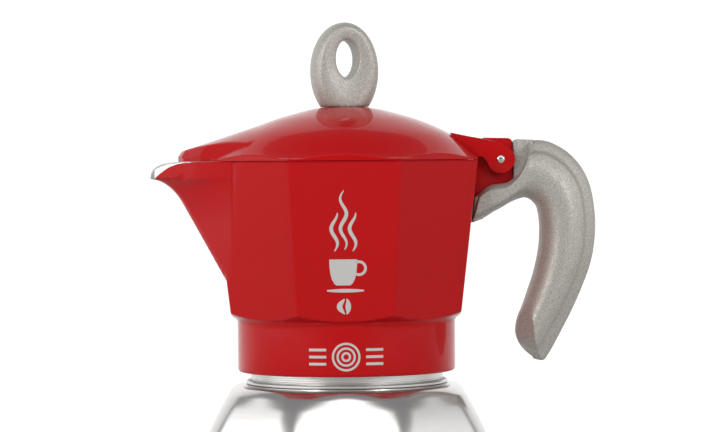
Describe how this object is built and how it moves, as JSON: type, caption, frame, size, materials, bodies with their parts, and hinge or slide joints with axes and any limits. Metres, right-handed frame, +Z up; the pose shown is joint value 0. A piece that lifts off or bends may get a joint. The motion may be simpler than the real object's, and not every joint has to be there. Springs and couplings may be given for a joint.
{
  "type": "moka pot",
  "caption": "Stovetop coffee maker: steel-jacketed boiler with a safety valve, lift-out funnel, screw-on red collector with a spout, hinged lid and side handle.",
  "frame": {"origin": "centre of the boiler's underside, on the surface the pot stands on", "axes": "+Z up along the screw thread's axis, +X towards the handle, -X towards the spout, +Y away from the side that is seen first"},
  "size_m": [0.1558, 0.1081, 0.1838],
  "materials": {
    "polished_steel": "polished",
    "plain_steel": "satin",
    "bare_aluminium": "satin",
    "turned_brass": "satin",
    "fibre_washer": "matte",
    "white_silicone": "matte",
    "red_lacquer": "gloss",
    "grey_plastic": "matte with a metallic speckle"
  },
  "bodies": {
    "boiler": {"boiler_jacket": "polished_steel", "boiler_liner": "bare_aluminium", "valve_body": "turned_brass", "valve_washer": "fibre_washer", "valve_spring": "plain_steel", "valve_retainer": "turned_brass"},
    "valve_piston": {"valve_piston": "plain_steel"},
    "funnel": {"funnel_cup": "bare_aluminium", "riser_tube": "bare_aluminium", "basket_sieve": "bare_aluminium"},
    "gasket": {"gasket": "white_silicone"},
    "filter_plate": {"filter_plate": "bare_aluminium"},
    "collector": {"collector": "red_lacquer", "coffee_column": "bare_aluminium", "handle": "grey_plastic", "handle_screw": "plain_steel", "hinge_pin": "plain_steel"},
    "lid": {"lid": "red_lacquer", "lid_washer": "plain_steel", "knob": "grey_plastic", "knob_insert": "turned_brass", "knob_screw": "plain_steel"}
  },
  "joints": [
    {"name": "valve_blow_off", "type": "slide", "parent": "boiler", "child": "valve_piston", "axis": [0, -1, 0], "range_m": [0, 0.0015], "stiffness_N_per_m": 2000, "deforming": ["valve_spring"]},
    {"name": "funnel_lift_out", "type": "slide", "parent": "boiler", "child": "funnel", "axis": [0, 0, 1], "range_m": [0, 0.08]},
    {"name": "collector_lift_off", "type": "slide", "parent": "funnel", "child": "gasket", "axis": [0, 0, 1], "range_m": [0, 0.08]},
    {"name": "thread_rise", "type": "slide", "parent": "gasket", "child": "filter_plate", "axis": [0, 0, 1], "range_m": [0, 0.0046]},
    {"name": "collector_unscrew", "type": "hinge", "parent": "filter_plate", "child": "collector", "pos_m": [0, 0, 0.07], "axis": [0, 0, 1], "range_deg": [0, 540]},
    {"name": "lid_hinge", "type": "hinge", "parent": "collector", "child": "lid", "pos_m": [0.05425, 0, 0.1355], "axis": [0, 1, 0], "range_deg": [0, 92]}
  ],
  "couplings": [
    {"joint": "thread_rise", "follows": "collector_unscrew", "m_per_rad": 0.00047746}
  ]
}
